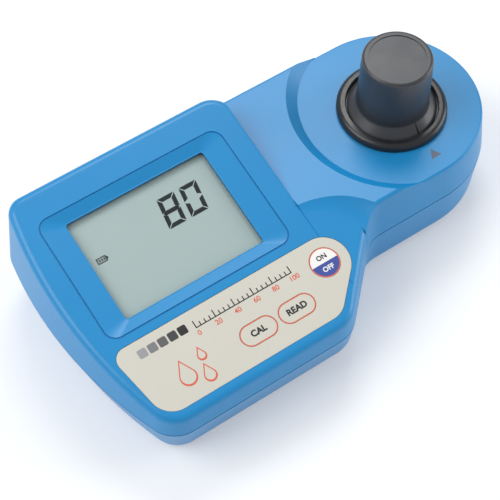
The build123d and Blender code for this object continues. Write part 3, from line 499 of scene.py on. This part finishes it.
def flat_work(name, shapes, depth, material, body):
    """Thin printed work on the tilted face; each shape is an outline and perhaps a hole."""
    vertices, faces = [], []
    for loops in shapes:
        points = [point for loop in loops for point in loop]
        start = len(vertices)
        count = len(points)
        vertices += [on_display(point, depth - INK_T) for point in points]
        vertices += [on_display(point, depth) for point in points]
        for flat in tessellate_polygon([[Vector((u, v, 0)) for u, v in loop] for loop in loops]):
            corners = anticlockwise(points, flat)
            faces.append([start + corner for corner in corners])
            faces.append([start + count + corner for corner in reversed(corners)])
        for loop in loops:
            for i in range(len(loop)):
                j = (i + 1) % len(loop)
                faces.append([start + i, start + count + i, start + count + j, start + j])
            start += len(loop)
    mesh = bpy.data.meshes.new(name)
    mesh.from_pydata(vertices, [], faces)
    mesh.update()
    return piece_from(name, mesh, material, body)


def arc(centre, radius, start, end, steps=ARC_STEPS):
    """Points on an arc between two angles in degrees."""
    angles = [radians(start + (end - start) * i / steps) for i in range(steps + 1)]
    return [(centre[0] + radius * cos(a), centre[1] + radius * sin(a)) for a in angles]


def pill(centre, length, width):
    """Outline with round ends."""
    reach = (length - width) / 2
    right = arc((centre[0] + reach, centre[1]), width / 2, -90, 90)
    left = arc((centre[0] - reach, centre[1]), width / 2, 90, 270)
    return right + left


def circle(centre, radius):
    """Closed circle."""
    return arc(centre, radius, 0, 360, CIRCLE_STEPS)[:-1]


def bar(left, right, low, high):
    """Upright rectangle."""
    return [(left, low), (right, low), (right, high), (left, high)]


def soft_bar(left, right, low, high, radius):
    """Rectangle with round corners."""
    corners = (
        (right - radius, low + radius, -90),
        (right - radius, high - radius, 0),
        (left + radius, high - radius, 90),
        (left + radius, low + radius, 180),
    )
    points = []
    for x, y, start in corners:
        points += arc((x, y), radius, start, start + 90, CORNER_STEPS)
    return points


def drop(centre, size):
    """Outline of a drop, with its tip up the slope."""
    x, y = centre
    belly = arc((x, y - 0.25 * size), 0.5 * size, 150, 390)
    tip = (x, y + 0.82 * size)
    return belly + [tip]


def lettering(name, text, centre, height, depth, material, body, weight=0.04):
    """Printed characters, centred on a point of the tilted face."""
    curve = bpy.data.curves.new(name, "FONT")
    curve.body = text
    curve.size = height * FONT_SIZE_SHARE * MM
    curve.align_x = "CENTER"
    curve.align_y = "CENTER"
    curve.offset = weight * height * MM
    curve.extrude = INK_T / 2 * MM
    source = bpy.data.objects.new(name, curve)
    bpy.context.scene.collection.objects.link(source)
    bpy.context.view_layer.update()
    mesh = bpy.data.meshes.new_from_object(source)
    bpy.data.objects.remove(source)
    mesh.materials.clear()
    mesh.transform(display_matrix(centre, depth - INK_T / 2))
    return piece_from(name, mesh, material, body)


def digit_bars(figure, corner, height):
    """Seven-bar figure: mitred bars, leaning to the right."""
    width = height * DIGIT_WIDTH_SHARE
    stroke = DIGIT_STROKE
    gap = stroke * DIGIT_GAP_SHARE
    half = stroke / 2
    middle = height / 2
    left, right = gap, width - gap

    def upright(outer, inner, low, high):
        foot = stroke if low == 0.0 else half
        head = stroke if high == height else half
        return [
            (outer, low + gap),
            (outer, high - gap),
            (inner, high - gap - head),
            (inner, low + gap + foot),
        ]

    bars = {
        "a": [
            (left + stroke, height - stroke),
            (right - stroke, height - stroke),
            (right, height),
            (left, height),
        ],
        "b": upright(width, width - stroke, middle, height),
        "c": upright(width, width - stroke, 0.0, middle),
        "d": [(left, 0.0), (right, 0.0), (right - stroke, stroke), (left + stroke, stroke)],
        "e": upright(0.0, stroke, 0.0, middle),
        "f": upright(0.0, stroke, middle, height),
        "g": [
            (left + half, middle - half),
            (right - half, middle - half),
            (right, middle),
            (right - half, middle + half),
            (left + half, middle + half),
            (left, middle),
        ],
    }
    shapes = []
    for mark in LIT_BARS[figure]:
        shapes.append([[(corner[0] + x + DIGIT_SLANT * y, corner[1] + y) for x, y in bars[mark]]])
    return shapes


def cell_sign():
    """Battery sign: a frame with a tip and bars in it."""
    frame_outline = bar(CELL_LEFT, CELL_RIGHT, CELL_LOW, CELL_HIGH)
    hole = bar(CELL_LEFT + CELL_LINE, CELL_RIGHT - CELL_LINE, CELL_LOW + CELL_LINE, CELL_HIGH - CELL_LINE)
    low = CELL_LOW + CELL_BAR_MARGIN
    high = CELL_HIGH - CELL_BAR_MARGIN
    shapes = [[frame_outline, hole]]
    for i in range(CELL_BARS):
        left = CELL_LEFT + CELL_BAR_INSET + CELL_BAR_PITCH * i
        shapes.append([bar(left, left + CELL_BAR_WIDTH, low, high)])
    shapes.append([bar(CELL_RIGHT, CELL_RIGHT + CELL_TIP, low, high)])
    return shapes


class CasingLook(bpy.types.PropertyGroup):
    """Finish of the two casings."""

    blue: FloatVectorProperty(
        name="Casing blue",
        description="Colour of the moulded casing",
        subtype="COLOR",
        default=srgb(20, 133, 193),
    )
    roughness: FloatProperty(
        name="Roughness", description="How matte the casing is", default=0.36, min=0.0, max=1.0
    )
    # The seal's dark navy is painted shade: it darkens the parting line to stand for the shadow in the
    # gap between the two casings.
    seal: FloatVectorProperty(
        name="Seal colour",
        description="Colour of the parting-line seal",
        subtype="COLOR",
        default=srgb(14, 34, 66),
    )
    index: FloatVectorProperty(
        name="Index colour",
        description="Colour of the printed triangle",
        subtype="COLOR",
        default=srgb(92, 102, 120),
    )


class FilmLook(bpy.types.PropertyGroup):
    """Printed keypad."""

    film: FloatVectorProperty(
        name="Film colour",
        description="Ground colour of the film",
        subtype="COLOR",
        default=srgb(203, 200, 188),
    )
    warm_ink: FloatVectorProperty(
        name="Warm ink",
        description="Colour of outlines and figures",
        subtype="COLOR",
        default=srgb(212, 96, 70),
    )
    dark_ink: FloatVectorProperty(
        name="Dark ink",
        description="Colour of the legends",
        subtype="COLOR",
        default=srgb(26, 26, 28),
    )
    blue_ink: FloatVectorProperty(
        name="Blue ink",
        description="Lower half of the power key",
        subtype="COLOR",
        default=srgb(58, 76, 152),
    )
    white_ink: FloatVectorProperty(
        name="White ink",
        description="Upper half of the power key",
        subtype="COLOR",
        default=srgb(236, 234, 230),
    )
    line: FloatProperty(
        name="Line width",
        description="Width of the outlines",
        unit="LENGTH",
        default=0.42 * MM,
        min=0.1 * MM,
    )


class ReadingLook(bpy.types.PropertyGroup):
    """Display window."""

    ground: FloatVectorProperty(
        name="Display ground",
        description="Colour of the blank display",
        subtype="COLOR",
        default=srgb(163, 182, 179),
    )
    mark: FloatVectorProperty(
        name="Digit colour",
        description="Colour of the lit bars",
        subtype="COLOR",
        default=srgb(10, 20, 20),
    )
    reading: StringProperty(name="Reading", description="Figures that the display shows", default="80")
    height: FloatProperty(
        name="Digit height",
        description="Height of one figure",
        unit="LENGTH",
        default=12.3 * MM,
        min=1 * MM,
    )


class SampleLook(bpy.types.PropertyGroup):
    """Cap and collar."""

    cap: FloatVectorProperty(
        name="Cap colour",
        description="Colour of the light-shield cap",
        subtype="COLOR",
        default=srgb(54, 56, 60),
    )
    ring: FloatVectorProperty(
        name="Collar colour",
        description="Colour of the collar",
        subtype="COLOR",
        default=srgb(32, 33, 36),
    )


class StageLook(bpy.types.PropertyGroup):
    """Floor and lights."""

    floor: FloatVectorProperty(
        name="Floor colour",
        description="Colour of the floor",
        subtype="COLOR",
        default=(0.945, 0.952, 0.968),
    )
    key_power: FloatProperty(
        name="Key light", description="Power of the large lamp behind", default=6.0, min=0.0
    )
    fill_power: FloatProperty(
        name="Fill light", description="Power of the lamp at the left", default=9.0, min=0.0
    )
    side_power: FloatProperty(
        name="Side light", description="Power of the lamp at the right", default=4.4, min=0.0
    )
    ambient: FloatProperty(
        name="Ambient", description="Strength of the room light", default=0.5, min=0.0
    )


class COLORIMETER_OT_casing(bpy.types.Operator):
    """Gives the two casings, the battery cover, the seal and the index mark their finish; the seal's dark
    colour is painted shade of the parting-line gap
    """

    bl_idname = "colorimeter.casing"
    bl_label = "Casing"

    def execute(self, context):
        look = context.scene.colorimeter_casing
        casing = moulded_plastic("casing_plastic", tuple(look.blue), look.roughness)
        for name in ("top_cover", "bottom_shell", "battery_cover"):
            coat_node(name, casing)
        # Seal piece in the parting line, coloured dark navy as painted shade of the gap's shadow.
        coat_node("seam_gasket", soft_rubber("seal_painted_gap_shade", tuple(look.seal)))
        coat_node("index_mark", ink("index_ink", tuple(look.index)))
        return {"FINISHED"}


class COLORIMETER_OT_film(bpy.types.Operator):
    """Prints the keypad: key outlines, legends, a plain scale, patches and a group of drops"""

    bl_idname = "colorimeter.film"
    bl_label = "Keypad print"

    def execute(self, context):
        look = context.scene.colorimeter_film
        film = printed_film("film_ground", tuple(look.film))
        warm = ink("warm_ink", tuple(look.warm_ink))
        dark = ink("dark_ink", tuple(look.dark_ink))
        blue = ink("blue_ink", tuple(look.blue_ink))
        white = ink("white_ink", tuple(look.white_ink))
        for name in ("keypad_overlay", "power_key", "cal_key", "read_key"):
            coat_node(name, film)
        coat_node("keypad_membrane", printed_film("membrane_film", srgb(196, 198, 192)))
        line = look.line / MM
        top = FILM_DEPTH - INK_LIFT
        self.print_pill_keys(top, line, warm, dark)
        self.print_power_key(top, line, warm, dark, blue, white)
        self.print_scale(top, dark, warm)
        self.print_patches(top)
        self.print_drops(top, warm, line)
        return {"FINISHED"}

    def print_pill_keys(self, top, line, warm, dark):
        """Outlines and legends of the two long keys."""
        for name, centre in PILL_KEYS.items():
            key = f"{name}_key"
            outer = pill(centre, PILL_LENGTH, PILL_WIDTH)
            inner = pill(centre, PILL_LENGTH - 2 * line, PILL_WIDTH - 2 * line)
            flat_work(f"{name}_outline", [[outer, inner]], top, warm, key)
            lettering(
                f"{name}_legend",
                name.upper(),
                centre,
                PILL_LEGEND_HEIGHT,
                top,
                dark,
                key,
                PILL_LEGEND_WEIGHT,
            )

    def print_power_key(self, top, line, warm, dark, blue, white):
        """Rim, the two halves and their legends."""
        inside = POWER_KEY_R - line
        over = top - INK_T - INK_LIFT
        x, y = POWER_KEY
        shapes = {
            "power_outline": ([circle(POWER_KEY, POWER_KEY_R), circle(POWER_KEY, inside)], warm),
            "power_upper": ([arc(POWER_KEY, inside, 0, 180, HALF_CIRCLE_STEPS)], white),
            "power_lower": ([arc(POWER_KEY, inside, 180, 360, HALF_CIRCLE_STEPS)], blue),
        }
        for name, (shape, colour) in shapes.items():
            flat_work(name, [shape], top, colour, "power_key")
        legends = {"ON": ((x, y + ON_RISE), dark), "OFF": ((x, y - OFF_DROP), white)}
        for text, (place, colour) in legends.items():
            name = f"{text.lower()}_legend"
            lettering(name, text, place, ON_OFF_HEIGHT, over, colour, "power_key")

    def print_scale(self, top, dark, warm):
        """Ruled scale in the title's place."""
        half = SCALE_LINE / 2
        foot = SCALE_LEVEL + SCALE_LINE
        shapes = [[bar(SCALE_LEFT - half, SCALE_RIGHT + half, SCALE_LEVEL, foot)]]
        for i in range(SCALE_DIVISIONS + 1):
            x = SCALE_LEFT + (SCALE_RIGHT - SCALE_LEFT) * i / SCALE_DIVISIONS
            tall = SCALE_SHORT_TICK if i % SCALE_LONG_EVERY else SCALE_LONG_TICK
            shapes.append([bar(x - half, x + half, foot, foot + tall)])
        flat_work("scale_ticks", shapes, top, dark, "housing")
        for i in range(0, SCALE_DIVISIONS + 1, SCALE_LONG_EVERY):
            x = SCALE_LEFT + (SCALE_RIGHT - SCALE_LEFT) * i / SCALE_DIVISIONS
            text = str(i * SCALE_END_NUMBER // SCALE_DIVISIONS)
            lettering(
                f"scale_number_{text}",
                text,
                (x, SCALE_LEVEL - SCALE_NUMBER_DROP),
                SCALE_NUMBER_HEIGHT,
                top,
                warm,
                "housing",
                SCALE_NUMBER_WEIGHT,
            )

    def print_patches(self, top):
        """Row of plain patches from light to dark, for comparing depth of colour."""
        for i in range(PATCH_COUNT):
            level = PATCH_LIGHTEST - PATCH_STEP * i
            tone = ink(f"patch_ink_{i}", srgb(level, level, level + 2))
            left = PATCH_LEFT + PATCH_PITCH * i
            shape = soft_bar(left, left + PATCH_SIZE, PATCH_LOW, PATCH_LOW + PATCH_SIZE, PATCH_CORNER_R)
            flat_work(f"patch_{i}", [[shape]], top, tone, "housing")

    def print_drops(self, top, warm, line):
        """Three outlined drops."""
        inset = DROP_LINE_SHARE * line
        shapes = [[drop(place, size), drop(place, size - inset)] for place, size in DROPS]
        flat_work("drops", shapes, top, warm, "housing")


class COLORIMETER_OT_reading(bpy.types.Operator):
    """Finishes the window and the display and shows a reading"""

    bl_idname = "colorimeter.reading"
    bl_label = "Display"

    def execute(self, context):
        look = context.scene.colorimeter_reading
        coat_node("display_lens", clear_plastic("window_clear", 0.035))
        coat_node("lcd_glass", display_glass("display_ground", tuple(look.ground)))
        coat_node("lcd_frame", moulded_plastic("display_frame", srgb(20, 21, 24), 0.6))
        strips = contact_rubber("contact_strip", srgb(60, 40, 38), srgb(206, 120, 104))
        coat_node("lcd_connectors", strips)
        marks = ink("display_mark", tuple(look.mark), gloss=0.1)
        top = GLASS_DEPTH - INK_LIFT
        for i, figure in enumerate(look.reading):
            corner = (DIGIT_LEFT + DIGIT_PITCH * i, DIGIT_LOW)
            shapes = digit_bars(figure, corner, look.height / MM)
            flat_work(f"digit_{i}", shapes, top, marks, "housing")
        flat_work("cell_sign", cell_sign(), top, marks, "housing")
        return {"FINISHED"}


class COLORIMETER_OT_sample(bpy.types.Operator):
    """Finishes the cap, the collar, the vial and its stopper"""

    bl_idname = "colorimeter.sample"
    bl_label = "Sample well"

    def execute(self, context):
        look = context.scene.colorimeter_sample
        coat_node("shield_cap", satin_black("cap_plastic", tuple(look.cap), 0.34))
        coat_node("collar_ring", satin_black("collar_plastic", tuple(look.ring), 0.3))
        coat_node("cuvette", solid_glass("vial_glass", (0.9, 0.94, 0.93), 0.28))
        coat_node("cuvette_stopper", moulded_plastic("stopper_plastic", srgb(44, 45, 48), 0.45))
        coat_node("well_seal", soft_rubber("well_rubber", srgb(40, 40, 42)))
        return {"FINISHED"}


class COLORIMETER_OT_inside(bpy.types.Operator):
    """Finishes the parts inside the casing and those on its underside"""

    bl_idname = "colorimeter.inside"
    bl_label = "Inside and underside"

    def execute(self, context):
        steel = plated_steel("screw_steel", srgb(196, 196, 200))
        for name in ("board_screws", "holder_screws", "case_screws"):
            coat_node(name, steel)
        board = circuit_board("board_mask", srgb(28, 92, 52), srgb(58, 128, 74))
        for name in ("main_board", "detector_board"):
            coat_node(name, board)
        chips = moulded_plastic("chip_plastic", srgb(40, 40, 44), 0.5, grain=0.2)
        coat_node("board_parts", chips)
        coat_node("snap_domes", plated_steel("dome_steel", srgb(206, 204, 196), 0.18))
        coat_node("keypad_tail", printed_film("tail_film", srgb(198, 140, 62)))
        holder = moulded_plastic("holder_plastic", srgb(34, 34, 36), 0.6, grain=0.5, relief=0.03)
        coat_node("cuvette_holder", holder)
        coat_node("lamp", solid_glass("lamp_glass", srgb(240, 232, 205), 0.6))
        coat_node("lamp_lens", solid_glass("lens_glass", srgb(236, 240, 244), 0.35))
        coat_node("interference_filter", solid_glass("filter_glass", srgb(120, 160, 150), 0.8))
        coat_node("photocell", plated_steel("photocell_can", srgb(214, 206, 180), 0.22))
        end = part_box("battery")[0].x / MM
        band = (end + BATTERY_BAND_START, end + BATTERY_BAND_END)
        wrap = banded_wrap("battery_wrap", srgb(52, 56, 64), srgb(170, 172, 176), *band)
        coat_node("battery", wrap)
        coat_node("battery_snap", moulded_plastic("snap_plastic", srgb(44, 44, 46), 0.5))
        coat_node("battery_leads", soft_rubber("lead_cover", srgb(160, 34, 30)))
        coat_node("battery_pad", foam("pad_foam", srgb(62, 62, 64)))
        coat_node("feet", soft_rubber("foot_rubber", srgb(46, 46, 48)))
        return {"FINISHED"}


def area_lamp(name, place, size, power):
    """Square soft lamp aimed at the object."""
    data = bpy.data.lights.new(name, "AREA")
    data.size = size
    data.energy = power
    lamp = bpy.data.objects.new(name, data)
    bpy.context.scene.collection.objects.link(lamp)
    lamp.location = place
    lamp.rotation_euler = (Vector(LAMP_TARGET) - Vector(place)).to_track_quat("-Z", "Y").to_euler()


def floor_paint(colour):
    """Pale floor that shows a little lighter to the camera and keeps its shadows."""
    paint = Paint("floor_paint")
    cloud = paint.noise(size=400.0)
    tone = paint.shades(cloud, colour, darkest=0.99, lightest=1.01)
    diffuse = paint.node("ShaderNodeBsdfDiffuse", {}, {"Color": tone})
    glow = paint.node("ShaderNodeEmission", {}, {"Color": (1.0, 1.0, 1.0, 1.0), "Strength": 1.0})
    straight = paint.node("ShaderNodeLightPath", output="Is Camera Ray")
    mirrored = paint.node("ShaderNodeLightPath", output="Is Glossy Ray")
    through = paint.node("ShaderNodeLightPath", output="Is Transmission Ray")
    seen = straight.larger(mirrored).larger(through)
    both = paint.node("ShaderNodeMixShader", {}, {0: seen * FLOOR_GLOW, 1: diffuse, 2: glow})
    paint.node("ShaderNodeOutputMaterial", {}, {"Surface": both})
    return paint.material


class COLORIMETER_OT_stage(bpy.types.Operator):
    """Sets up the floor, the lights and the camera"""

    bl_idname = "colorimeter.stage"
    bl_label = "Stage"

    def execute(self, context):
        look = context.scene.colorimeter_stage
        self.lay_floor(context.scene, look)
        area_lamp("key_lamp", KEY_LAMP_PLACE, KEY_LAMP_SIZE, look.key_power)
        area_lamp("fill_lamp", FILL_LAMP_PLACE, FILL_LAMP_SIZE, look.fill_power)
        area_lamp("side_lamp", SIDE_LAMP_PLACE, SIDE_LAMP_SIZE, look.side_power)
        self.light_room(context.scene, look)
        self.set_camera(context.scene)
        context.scene.view_settings.view_transform = "Standard"
        return {"FINISHED"}

    def lay_floor(self, scene, look):
        """One large square at the height of the feet."""
        corners = [(x, y, 0.0) for x, y in bar(-FLOOR_HALF, FLOOR_HALF, -FLOOR_HALF, FLOOR_HALF)]
        mesh = bpy.data.meshes.new("floor")
        mesh.from_pydata(corners, [], [(0, 1, 2, 3)])
        floor = bpy.data.objects.new("floor", mesh)
        scene.collection.objects.link(floor)
        mesh.materials.append(floor_paint(tuple(look.floor)))

    def light_room(self, scene, look):
        """Even light from all sides."""
        world = bpy.data.worlds.new("room")
        world.use_nodes = True
        background = world.node_tree.nodes["Background"]
        background.inputs["Color"].default_value = ROOM_COLOUR
        background.inputs["Strength"].default_value = look.ambient
        scene.world = world

    def set_camera(self, scene):
        """Camera at the photograph's angle."""
        camera_data = bpy.data.cameras.new("camera")
        camera_data.lens = CAMERA_LENS
        camera_data.sensor_width = CAMERA_SENSOR
        camera_data.clip_start = CAMERA_NEAR
        camera = bpy.data.objects.new("camera", camera_data)
        scene.collection.objects.link(camera)
        camera.rotation_euler = (pi / 2 - CAMERA_ELEVATION, 0.0, CAMERA_AZIMUTH)
        camera.location = CAMERA_PLACE
        scene.camera = camera


class COLORIMETER_PT_panel(bpy.types.Panel):
    """Lists the steps and their settings"""

    bl_label = "Colorimeter"
    bl_idname = "COLORIMETER_PT_panel"
    bl_space_type = "VIEW_3D"
    bl_region_type = "UI"
    bl_category = "Colorimeter"

    def draw(self, context):
        for operator, settings in STEPS:
            box = self.layout.box()
            box.operator(operator.bl_idname)
            if settings:
                look = getattr(context.scene, settings)
                for name in look.__annotations__:
                    box.prop(look, name)


LOOKS = {
    "colorimeter_casing": CasingLook,
    "colorimeter_film": FilmLook,
    "colorimeter_reading": ReadingLook,
    "colorimeter_sample": SampleLook,
    "colorimeter_stage": StageLook,
}
STEPS = (
    (COLORIMETER_OT_casing, "colorimeter_casing"),
    (COLORIMETER_OT_film, "colorimeter_film"),
    (COLORIMETER_OT_reading, "colorimeter_reading"),
    (COLORIMETER_OT_sample, "colorimeter_sample"),
    (COLORIMETER_OT_inside, None),
    (COLORIMETER_OT_stage, "colorimeter_stage"),
)


def register():
    """Registers the settings, the steps and the panel."""
    for name, look in LOOKS.items():
        bpy.utils.register_class(look)
        setattr(bpy.types.Scene, name, PointerProperty(type=look))
    for operator, _ in STEPS:
        bpy.utils.register_class(operator)
    bpy.utils.register_class(COLORIMETER_PT_panel)


def unregister():
    """Takes them out again."""
    bpy.utils.unregister_class(COLORIMETER_PT_panel)
    for operator, _ in reversed(STEPS):
        bpy.utils.unregister_class(operator)
    for name, look in LOOKS.items():
        delattr(bpy.types.Scene, name)
        bpy.utils.unregister_class(look)


def main():
    """Registers and runs every step."""
    register()
    bpy.ops.colorimeter.casing()
    bpy.ops.colorimeter.film()
    bpy.ops.colorimeter.reading()
    bpy.ops.colorimeter.sample()
    bpy.ops.colorimeter.inside()
    bpy.ops.colorimeter.stage()


if __name__ == "__main__":
    main()
